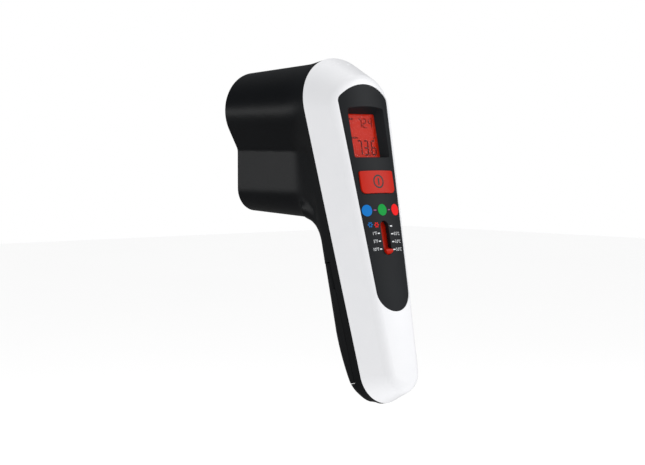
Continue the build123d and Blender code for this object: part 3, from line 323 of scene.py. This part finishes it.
def noseOutline(grow):
    lobe, half = nose["lobeRadius"] + grow, nose["halfWidth"] + grow
    bottom, flank = nose["bottom"] - grow, math.radians(nose["flank"])
    lobeEnd = (lobe * math.cos(flank), nose["lobeHeight"] - lobe * math.sin(flank))
    waist = (half, lobeEnd[1] - (lobeEnd[0] - half) / math.tan(flank))
    foot = (half, bottom + half)
    points = arcPoints((0, nose["lobeHeight"]), lobe, math.pi + flank, -flank, 44)
    points += linePoints(lobeEnd, waist, 8) + linePoints(waist, foot, 12)
    points += arcPoints((0, foot[1]), half, 0, -math.pi, 28)
    points += linePoints((-foot[0], foot[1]), (-waist[0], waist[1]), 12)
    points += linePoints((-waist[0], waist[1]), (-lobeEnd[0], lobeEnd[1]), 8)
    return points


def sideHalfWidth(s):
    head, end, length = casing["headRadius"], casing["endRadius"], casing["length"]
    lean = math.asin((head - end) / (length - head - end))
    tangentS = head + head * math.sin(lean)
    return head * math.cos(lean) - (s - tangentS) * math.tan(lean), lean


def baseOutline():
    head = casing["headRadius"]
    lean = sideHalfWidth(0)[1]
    headEnd = (head * math.cos(lean), -head - head * math.sin(lean))
    waist = (sideHalfWidth(nose["waistS"])[0], -nose["waistS"])
    low = (sideHalfWidth(nose["lowS"])[0], -nose["lowS"])
    sag = nose["endS"] - nose["lowS"]
    radius = (low[0] ** 2 + sag ** 2) / (2 * sag)
    centre = (0, -nose["endS"] + radius)
    start = math.atan2(low[1] - centre[1], low[0])
    points = arcPoints((0, -head), head, math.pi + lean, -lean, 44)
    points += linePoints(headEnd, waist, 8) + linePoints(waist, low, 12)
    points += arcPoints(centre, radius, start, -math.pi - start, 28)
    points += linePoints((-low[0], low[1]), (-waist[0], waist[1]), 12)
    points += linePoints((-waist[0], waist[1]), (-headEnd[0], headEnd[1]), 8)
    return [onFace(x, -y, 0) for x, y in points]


def noseRings(front, past):
    # straight draft from the front face, then a curve that opens out to the parting line
    draft = math.tan(math.radians(nose["draft"]))
    start = nose["flareStart"]

    def section(back):
        return [Vector((x, -back, z)) * millimetre for x, z in noseOutline(back * draft)]

    rings = [section(front + (start - front) * i / 6) for i in range(7)]
    first, last, base = section(0), section(start), baseOutline()
    for i in range(1, 13):
        t = i / 12
        ring = []
        for a, b, c in zip(first, last, base):
            reach = c - b
            leave = (b - a) / (start * millimetre) * reach.length
            h00, h10 = 2 * t ** 3 - 3 * t ** 2 + 1, t ** 3 - 2 * t ** 2 + t
            h01, h11 = 3 * t ** 2 - 2 * t ** 3, t ** 3 - t ** 2
            ring.append(b * h00 + leave * h10 + c * h01 + reach * h11)
        rings.append(ring)
    rings.append([c + (c - b).normalized() * past * millimetre for b, c in zip(last, base)])
    return rings


def gripDepth(s):
    full, length = grip["fullS"], casing["length"] + grip["overrun"]
    if s <= full:
        rise, start = grip["depthFull"] - grip["depthTop"], grip["depthTopS"]
        return grip["depthTop"] + rise * (s - start) / (full - start)
    t = min((s - full) / (length - full), 1.0)
    return grip["depthFull"] * (1 - t ** grip["footBend"]) ** grip["footRound"]


def gripHalfWidth(s, depth):
    length, endRadius = casing["length"], casing["endRadius"]
    centre = length - endRadius
    t = min(max((s - casing["headRadius"]) / (centre - casing["headRadius"]), 0), 1)
    lean = (grip["leanHead"] + (grip["leanEnd"] - grip["leanHead"]) * t) * depth / grip["depthFull"]
    straight, slope = sideHalfWidth(s)
    radius = endRadius - grip["leanEnd"] * depth / grip["depthFull"]
    if s > centre + radius * math.sin(slope):
        return math.sqrt(max(radius ** 2 - (s - centre) ** 2, 0.01))
    return straight - lean


def gripRings(past):
    rings, share, last = [], grip["cornerShare"], grip["footRings"]
    stops = [grip["topS"] + grip["ringPitch"] * i for i in range(25)]
    span = casing["length"] - stops[-1]
    stops += [stops[-1] + span * math.sin(math.pi / 2 * i / last) for i in range(1, last + 1)]
    for s in stops:
        deep = max(gripDepth(s), grip["leastDepth"])
        top = gripHalfWidth(s, -past)
        corner = min(grip["edgeRadius"], share * deep, share * gripHalfWidth(s, deep))
        low = gripHalfWidth(s, deep - corner)
        right = [(top, past), (gripHalfWidth(s, 0), 0)]
        right += linePoints((gripHalfWidth(s, 0), 0), (low, corner - deep), 6)[1:]
        right += arcPoints((low - corner, corner - deep), corner, 0, -math.pi / 2, 8)
        right += linePoints((low - corner, -deep), (0, -deep), 5)
        section = right + [(0, -deep)] + [(-x, n) for x, n in reversed(right)]
        rings.append([onFace(x, s, n) for x, n in section])
    return rings


def webRings():
    rings, power = [], web["square"]
    for i in range(web["rings"] + 1):
        t = i / web["rings"]
        turn = math.radians(web["turn"]) * t
        outward = Vector((0, -math.sin(turn), math.cos(turn)))
        surface = Vector((0, web["centreY"], web["centreZ"])) + outward * web["radius"]
        half = web["noseHalf"] + (web["gripHalf"] - web["noseHalf"]) * t
        ring = []
        for k in range(web["ringSteps"] + 1):
            angle = math.pi * k / web["ringSteps"]
            side = math.copysign(abs(math.cos(angle)) ** power, math.cos(angle)) * half
            inward = (1 - math.sin(angle) ** power) * web["depth"]
            ring.append((surface + outward * inward + Vector((side, 0, 0))) * millimetre)
        for side in (-web["backWidth"] * half, web["backWidth"] * half):
            deep = surface + outward * web["depth"] * web["backDepth"] + Vector((side, 0, 0))
            ring.append(deep * millimetre)
        rings.append(ring)
    return rings


def cutWith(piece, cutter):
    tool = piece.modifiers.new("cut", "BOOLEAN")
    tool.operation = "DIFFERENCE"
    tool.solver = "EXACT"
    tool.object = cutter
    bakeModifiers(piece)
    bpy.data.objects.remove(cutter)


def boxOfCorners(corners):
    faces = [(0, 1, 3, 2), (4, 6, 7, 5), (0, 4, 5, 1), (2, 3, 7, 6), (0, 2, 6, 4), (1, 5, 7, 3)]
    block = meshPiece("block", corners, faces, None, smooth=False)
    mendNormals(block)
    return block


def faceBlock(low, high):
    # a box between two corners given as (x, s, n)
    corners = [onFace(x, s, n) for n in (low[2], high[2]) for s in (low[1], high[1])
               for x in (low[0], high[0])]
    return boxOfCorners(corners)


def nosePrism(grow, front, back):
    rings = [[Vector((x, -y, z)) * millimetre for x, z in noseOutline(grow)] for y in (front, back)]
    return tubeOfRings("prism", rings, None)


def makeHousingSkin():
    forms = {"noseForm": noseRings(skin["noseStart"], skin["nosePast"]),
             "gripForm": gripRings(skin["gripPast"]), "webForm": webRings()}
    form = joinPieces("housingSkin", [tubeOfRings(name, rings, materials["black_shell"])
                                      for name, rings in forms.items()])
    remesh = form.modifiers.new("even", "REMESH")
    remesh.mode, remesh.voxel_size = "VOXEL", skin["voxel"] * millimetre
    bakeModifiers(form)
    # the inner corner under the nose and the flare are smoothed, the rest keeps its form
    junction = form.vertex_groups.new(name="junction")
    allOver = form.vertex_groups.new(name="allOver")
    bottom = nose["bottom"] - skin["blendDrop"]
    for vertex in form.data.vertices:
        n = (vertex.co - partingTop).dot(toUser) / millimetre
        nearCorner = math.hypot(vertex.co.z / millimetre - bottom, n + skin["blendDepth"])
        weight = max(0.0, min(1.0, skin["blendEdge"] - nearCorner / skin["blendRadius"]))
        if weight > 0:
            junction.add([vertex.index], weight, "REPLACE")
        allOver.add([vertex.index], 1.0, "REPLACE")
    for group, steps in (("junction", skin["blendSteps"]), ("allOver", skin["evenSteps"])):
        smoother = form.modifiers.new(group, "SMOOTH")
        smoother.factor, smoother.iterations = skin["smoothing"], steps
        smoother.vertex_group = group
    bakeModifiers(form)
    # walls: the hollow is the same form, one wall smaller
    hollow = form.copy()
    hollow.data = form.data.copy()
    bpy.context.scene.collection.objects.link(hollow)
    shrink = hollow.modifiers.new("shrink", "DISPLACE")
    shrink.strength, shrink.mid_level = -skin["wall"] * millimetre, 0.0
    thin = hollow.modifiers.new("thin", "DECIMATE")
    thin.ratio = skin["hollowShare"]
    bakeModifiers(hollow)
    hollow.vertex_groups.clear()
    form.vertex_groups.clear()
    wide = skin["cutterHalf"]
    front = boxOfCorners([Vector((x, y, z)) * millimetre for x in (-wide, wide)
                          for y in (0, wide) for z in (-2 * wide, 2 * wide)])
    for cutter in (hollow, faceBlock((-wide, -wide, 0), (wide, skin["cutterEnd"], wide)), front,
                   nosePrism(-skin["rimWall"], -1, skin["bezelDepth"]),
                   faceBlock((-wide, skin["doorTop"], -wide),
                             (wide, skin["doorEnd"], skin["doorSide"]))):
        cutWith(form, cutter)
    return form


def finishSkin(piece):
    for polygon in piece.data.polygons:
        polygon.use_smooth = True
    piece.data.set_sharp_from_angle(angle=math.radians(skin["sharpAngle"]))
    piece.data.materials.clear()
    piece.data.materials.append(materials["black_shell"])
    return piece


housingSkin = finishSkin(makeHousingSkin())
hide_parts("nose_housing")
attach(housingSkin, "casing")
# the inner shelf that the housing screws and the leads pass
shelfHalf = gripHalfWidth(skin["shelfEnd"], skin["shelfBack"]) - skin["wall"] + skin["shelfBite"]
housingShelf = faceBlock((-shelfHalf, skin["shelfTop"], -skin["shelfBack"]),
                         (shelfHalf, skin["shelfEnd"], -skin["shelfFront"]))
housingShelf.name = "housingShelf"
housingShelf.data.materials.append(materials["black_shell"])
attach(housingShelf, "casing")
print("housing skin:", len(housingSkin.data.polygons), "faces")

# Prints on the panel, the button and the display.

# the curve size is the height of a capital times textSize
printing = {"thickness": 0.05, "bite": 0.03, "textSize": 1.4}


def flatPrint(name, shapes, level, material, body, thickness=printing["thickness"]):
    # shapes: polygons, or (outer, inner) pairs for rings, as points (x, s)
    vertices, faces = [], []
    for shape in shapes:
        loops = shape if isinstance(shape, tuple) else (shape,)
        count = len(loops[0])
        base = len(vertices)
        for loop in loops:
            for lift in (-printing["bite"], thickness):
                vertices += [onFace(x, s, level(x, s) + lift) for x, s in loop]
        ring = range(count)
        if len(loops) == 1:
            faces.append([base + i for i in ring])
            faces.append([base + count + i for i in reversed(ring)])
        for k in range(len(loops)):
            a, b = base + 2 * k * count, base + (2 * k + 1) * count
            faces += [(a + i, a + (i + 1) % count, b + (i + 1) % count, b + i) for i in ring]
        if len(loops) == 2:
            for k in (0, 1):
                a, b = base + k * count, base + (2 + k) * count
                faces += [(a + i, a + (i + 1) % count, b + (i + 1) % count, b + i) for i in ring]
    piece = meshPiece(name, vertices, faces, material, smooth=False)
    mendNormals(piece)
    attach(piece, body)
    return piece


def disc(x, s, radius, count=40):
    turns = [2 * math.pi * i / count for i in range(count)]
    return [(x + radius * math.cos(turn), s + radius * math.sin(turn)) for turn in turns]


def bar(x, s, width, height, corner=0.0):
    if not corner:
        half, tall = width / 2, height / 2
        return [(x + sx * half, s + sy * tall) for sx, sy in ((-1, -1), (1, -1), (1, 1), (-1, 1))]
    points = []
    for i, (sx, sy) in enumerate(((1, 1), (-1, 1), (-1, -1), (1, -1))):
        centre = (x + sx * (width / 2 - corner), s + sy * (height / 2 - corner))
        points += arcPoints(centre, corner, math.pi / 2 * i, math.pi / 2 * (i + 1), 5)
    return points


def onPanel(x, s):
    return panelLevel(x, s, casing["panelSink"])


# three colour dots, printed thick enough to cover the crown of the panel under them
dots = {"s": 90.0, "radius": 3.15, "xs": (-10.3, 0.0, 10.4), "thickness": 0.16,
        "dashXs": (-5.1, 5.25), "dashLength": 1.7, "dashHeight": 0.55}
for inkName, x in zip(("blueInk", "greenInk", "redInk"), dots["xs"]):
    flatPrint(inkName.replace("Ink", "Dot"), [disc(x, dots["s"], dots["radius"])], onPanel,
              inks[inkName], "casing", dots["thickness"])
dashes = [bar(x, dots["s"], dots["dashLength"], dots["dashHeight"]) for x in dots["dashXs"]]
flatPrint("dotDashes", dashes, onPanel, inks["purpleInk"], "casing")

# two small flower marks, cold and warm, of six petals round a ring
flowers = {"blueInk": (-9.5, 97.8), "redInk": (-5.5, 98.1)}
flower = {"petals": 6, "reach": 1.2075, "petalRadius": 0.36, "ringRadius": 0.62, "ringWidth": 0.22}
for inkName, (x, s) in flowers.items():
    shapes = [(disc(x, s, flower["ringRadius"] + flower["ringWidth"], 24),
               disc(x, s, flower["ringRadius"], 24))]
    for i in range(flower["petals"]):
        turn = 2 * math.pi * i / flower["petals"]
        shapes.append(disc(x + flower["reach"] * math.cos(turn),
                           s + flower["reach"] * math.sin(turn), flower["petalRadius"], 12))
    flatPrint(inkName.replace("Ink", "Flower"), shapes, onPanel, inks[inkName], "casing")


def tickTree():
    # a row of equal bars: how many, how far apart, and their size
    tree = bpy.data.node_groups.new("scaleTicks", "GeometryNodeTree")
    interface = tree.interface
    interface.new_socket("Geometry", in_out="OUTPUT", socket_type="NodeSocketGeometry")
    for name, kind in (("Count", "NodeSocketInt"), ("First", "NodeSocketVector"),
                       ("Step", "NodeSocketVector"), ("Size", "NodeSocketVector"),
                       ("Turn", "NodeSocketRotation"), ("Ink", "NodeSocketMaterial")):
        interface.new_socket(name, in_out="INPUT", socket_type=kind)
    given = addNode(tree, "NodeGroupInput").outputs
    row = addNode(tree, "GeometryNodeMeshLine", links={
        "Count": given["Count"], "Start Location": given["First"], "Offset": given["Step"]})
    tick = addNode(tree, "GeometryNodeMeshCube", links={"Size": given["Size"]})
    placed = addNode(tree, "GeometryNodeInstanceOnPoints", links={
        "Points": row.outputs["Mesh"], "Instance": tick.outputs["Mesh"],
        "Rotation": given["Turn"]})
    real = addNode(tree, "GeometryNodeRealizeInstances", links={
        "Geometry": placed.outputs["Instances"]})
    inked = addNode(tree, "GeometryNodeSetMaterial", links={
        "Geometry": real.outputs["Geometry"], "Material": given["Ink"]})
    addNode(tree, "NodeGroupOutput", links={"Geometry": inked.outputs["Geometry"]})
    return tree


ticks = {"width": 2.0, "height": 0.62, "pitch": 4.3, "rightX": 4.75, "rightS": 99.0,
         "rightCount": 4, "leftX": -4.65, "leftS": 102.7, "leftCount": 3}
ticksTree = tickTree()
faceTurn = Matrix((Vector((1, 0, 0)), upGrip, toUser)).transposed()


def tickRow(name, x, s, count):
    fall = math.tan(math.radians(casing["crownFall"]))
    piece = meshPiece(name, [], [], None)
    row = piece.modifiers.new("row", "NODES")
    row.node_group = ticksTree
    settings = {
        "Count": count, "First": onFace(x, s, onPanel(x, s)),
        "Step": (-upGrip - toUser * fall) * ticks["pitch"] * millimetre,
        "Size": Vector((ticks["width"], ticks["height"], 2 * printing["thickness"])) * millimetre,
        "Turn": faceTurn.to_euler(), "Ink": inks["whiteInk"]}
    for item in ticksTree.interface.items_tree:
        if item.in_out == "INPUT":
            value = settings[item.name]
            plain = isinstance(value, (int, bpy.types.Material))
            row[item.identifier] = value if plain else list(value)
    piece.update_tag()
    bakeModifiers(piece)
    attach(piece, "casing")


tickRow("rightTicks", ticks["rightX"], ticks["rightS"], ticks["rightCount"])
tickRow("leftTicks", ticks["leftX"], ticks["leftS"], ticks["leftCount"])


def printLabel(name, text, x, s, align):
    # a label of the scale, in white ink on the panel
    curve = bpy.data.curves.new(name, "FONT")
    curve.body, curve.size = text, scale["height"] * printing["textSize"]
    curve.align_x, curve.align_y, curve.resolution_u = align, "CENTER", 3
    scratch = bpy.data.objects.new(name, curve)
    bpy.context.scene.collection.objects.link(scratch)
    depsgraph = bpy.context.evaluated_depsgraph_get()
    flat = bpy.data.meshes.new_from_object(scratch.evaluated_get(depsgraph))
    bpy.data.objects.remove(scratch)
    work = bmesh.new()
    work.from_mesh(flat)
    bmesh.ops.remove_doubles(work, verts=work.verts, dist=1e-5)
    raised = bmesh.ops.extrude_face_region(work, geom=work.faces[:])
    for vertex in (v for v in raised["geom"] if isinstance(v, bmesh.types.BMVert)):
        vertex.co.z = 1.0
    for vertex in work.verts:
        px, ps = x + vertex.co.x * scale["wide"], s - vertex.co.y
        lift = printing["thickness"] if vertex.co.z > 0.5 else -printing["bite"]
        vertex.co = onFace(px, ps, onPanel(px, ps) + lift)
    bmesh.ops.recalc_face_normals(work, faces=work.faces)
    work.to_mesh(flat)
    work.free()
    flat.materials.append(inks["whiteInk"])
    piece = bpy.data.objects.new(name, flat)
    bpy.context.scene.collection.objects.link(piece)
    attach(piece, "casing")


scale = {"height": 1.75, "leftX": -6.1, "rightX": 6.4, "left": ("1°F", "5°F", "10°F"),
         "right": ("0.5°C", "3.0°C", "5.0°C"), "rightS": 103.3, "wide": 0.86}
for i, label in enumerate(scale["left"]):
    s = ticks["leftS"] + i * ticks["pitch"]
    printLabel(f"fahrenheit{i}", label, scale["leftX"], s, "RIGHT")
for i, label in enumerate(scale["right"]):
    s = scale["rightS"] + i * ticks["pitch"]
    printLabel(f"celsius{i}", label, scale["rightX"], s, "LEFT")

powerMark = {"x": -0.3, "s": 74.5, "radius": 3.75, "line": 0.85, "barWidth": 0.9775,
             "barLength": 3.7, "barCorner": 0.25, "proud": 0.5}


def onButton(x, s):
    return panelLevel(x, s, -powerMark["proud"])


x, s, radius = powerMark["x"], powerMark["s"], powerMark["radius"]
flatPrint("powerMark", [
    (disc(x, s, radius), disc(x, s, radius - powerMark["line"])),
    bar(x, s, powerMark["barWidth"], powerMark["barLength"], powerMark["barCorner"])],
    onButton, inks["blackInk"], "button")

# Seven-segment figures on the display glass, slanted a little. Gaps and pitches are shares of a
# figure's width or of the thickness of its bars.
display = {"level": 12.62, "slant": 0.08, "flatGap": 1.3, "uprightGap": 0.4, "pitch": 1.55,
           "pointPlace": 0.32, "pointPitch": 0.36}
segmentBars = {
    "a": (0, -1, 1), "b": (0.5, -0.5, 0), "c": (0.5, 0.5, 0), "d": (0, 1, 1),
    "e": (-0.5, 0.5, 0), "f": (-0.5, -0.5, 0), "g": (0, 0, 1),
}
figureSegments = {"2": "abged", "3": "abgcd", "4": "fgbc", "6": "afgedc", "7": "abc"}


def onGlass(x, s):
    return display["level"]


def figureShapes(text, right, s, height, width, line):
    # figures set from right to left; s is their middle
    shapes, x = [], right - width / 2
    for letter in reversed(text):
        if letter == ".":
            shapes.append(bar(x + width * display["pointPlace"], s + height / 2, line, line))
            x -= width * display["pointPitch"]
            continue
        for key in figureSegments[letter]:
            dx, ds, level = segmentBars[key]
            length = height / 2 - line * display["uprightGap"]
            if level:
                length = width - line * display["flatGap"]
            size = (length, line) if level else (line, length)
            cx, cs = x + dx * width, s + ds * height / 2
            shapes.append([(px - (ps - s) * display["slant"], ps) for px, ps in bar(cx, cs, *size)])
        x -= width * display["pitch"]
    return shapes


# text, right edge, middle, height, width of a figure and thickness of its bars
upperFigures = figureShapes("72.4", 8.0, 40.4, 4.8, 2.2, 0.55)
lowerFigures = figureShapes("73.6", 8.4, 54.2, 7.8, 3.0, 0.8)
flatPrint("displayFigures", upperFigures + lowerFigures, onGlass, inks["segmentShade"],
          "casing")
# rows of small marks: first x, pitch, how many, s, width and height of each
markRows = ((-7.6, 0.9, 3, 38.1, 0.6, 1.1), (-8.1, 0.95, 5, 48.6, 0.62, 1.0),
            (7.9, 0, 1, 37.6, 1.2, 0.5), (8.3, 0, 1, 48.7, 0.9, 0.9))
smallMarks = [bar(first + pitch * i, s, width, height)
              for first, pitch, many, s, width, height in markRows for i in range(many)]
flatPrint("displayMarks", smallMarks, onGlass, inks["segmentShade"], "casing")
print("prints done")

# Stage, lights and camera.

stage = {"size": 12.0, "drop": 0.32, "glow": 0.38, "mirrored": 0.12}
centre = (cadLow + cadHigh) / 2
floorZ = cadLow.z - stage["drop"]
half = stage["size"] / 2
paper = makeSurface("whiteStudioPaper", {
    "light": "#FBFBFB", "dark": "#F8F8F8", "rough": 0.9, "cloud": 900.0, "relief": 0.0,
    "shader": {"Specular IOR Level": 0.1, "Emission Color": (1, 1, 1, 1),
               "Emission Strength": stage["glow"]}})
# glossy surfaces mirror a dim floor, so the black nose stays black
paperTree = paper.node_tree
paperOut = next(node for node in paperTree.nodes if node.type == "OUTPUT_MATERIAL")
paperShader = next(node for node in paperTree.nodes if node.type == "BSDF_PRINCIPLED")
paperRay = addNode(paperTree, "ShaderNodeLightPath").outputs["Is Glossy Ray"]
paperDim = addNode(paperTree, "ShaderNodeEmission", values={
    "Color": (1, 1, 1, 1), "Strength": stage["mirrored"]})
paperMix = addNode(paperTree, "ShaderNodeMixShader", links={
    0: paperRay, 1: paperShader.outputs["BSDF"], 2: paperDim.outputs["Emission"]})
paperTree.links.new(paperMix.outputs["Shader"], paperOut.inputs["Surface"])
corners = ((-half, -half), (half, -half), (half, half), (-half, half))
floor = meshPiece("floor", [(x, y, floorZ) for x, y in corners], [(0, 1, 2, 3)], paper)

bpy.context.scene.view_settings.view_transform = "Standard"
# the room: light on the object, what dark surfaces mirror, and the white seen behind
roomLight = {"room": 0.62, "mirrored": 0.1, "seen": 1.0}
world = bpy.data.worlds.new("studio")
bpy.context.scene.world = world
world.use_nodes = True
world.node_tree.nodes.clear()
# the backdrop is white, but dark surfaces mirror a much dimmer room, so they stay dark
tree = world.node_tree
path = addNode(tree, "ShaderNodeLightPath").outputs
room = addNode(tree, "ShaderNodeBackground", values={
    "Color": (1, 1, 1, 1), "Strength": roomLight["room"]})
mirrored = addNode(tree, "ShaderNodeBackground", values={
    "Color": (0.9, 0.95, 1, 1), "Strength": roomLight["mirrored"]})
white = addNode(tree, "ShaderNodeBackground", values={
    "Color": (1, 1, 1, 1), "Strength": roomLight["seen"]})
glossy = addNode(tree, "ShaderNodeMixShader", links={
    0: path["Is Glossy Ray"], 1: room.outputs[0], 2: mirrored.outputs[0]})
seen = addNode(tree, "ShaderNodeMixShader", links={
    0: path["Is Camera Ray"], 1: glossy.outputs[0], 2: white.outputs[0]})
addNode(tree, "ShaderNodeOutputWorld", links={"Surface": seen.outputs[0]})

# direction to each softbox from the object, its distance, width, height (m) and power (W)
softboxes = {
    "keyRight": ((0.75, -0.85, 0.6), 1.5, 1.0, 1.0, 9.0),
    "frontFill": ((-0.9, -0.5, 0.5), 1.8, 1.0, 1.0, 2.0),
    "noseSide": ((-0.655, 0.753, 0.02), 1.4, 0.6, 0.24, 0.9),
    "overhead": ((0.1, 0.35, 1.0), 1.3, 1.2, 0.8, 3.5),
}
for name, (direction, distance, width, height, power) in softboxes.items():
    light = bpy.data.lights.new(name, "AREA")
    light.shape, light.size, light.size_y, light.energy = "RECTANGLE", width, height, power
    lamp = bpy.data.objects.new(name, light)
    toLight = Vector(direction).normalized()
    lamp.location = centre + toLight * distance
    lamp.rotation_euler = toLight.to_track_quat("Z", "Y").to_euler()
    bpy.context.scene.collection.objects.link(lamp)

view = {"azimuth": -40.99, "elevation": 3.06, "distance": 800.0, "lens": 79.54, "sensor": 36.0,
        "aimSide": -5.19, "aimBack": -66.79, "aimUp": -51.3}
azimuth, elevation = math.radians(view["azimuth"]), math.radians(view["elevation"])
level = math.cos(elevation)
backward = Vector((math.sin(azimuth) * level, -math.cos(azimuth) * level, math.sin(elevation)))
cameraData = bpy.data.cameras.new("camera")
cameraData.sensor_width, cameraData.lens = view["sensor"], view["lens"]
camera = bpy.data.objects.new("camera", cameraData)
aim = Vector((view["aimSide"], view["aimBack"], view["aimUp"])) * millimetre
camera.location = aim + backward * view["distance"] * millimetre
camera.rotation_euler = backward.to_track_quat("Z", "Y").to_euler()
bpy.context.scene.collection.objects.link(camera)
bpy.context.scene.camera = camera
print("stage, lights and camera done")
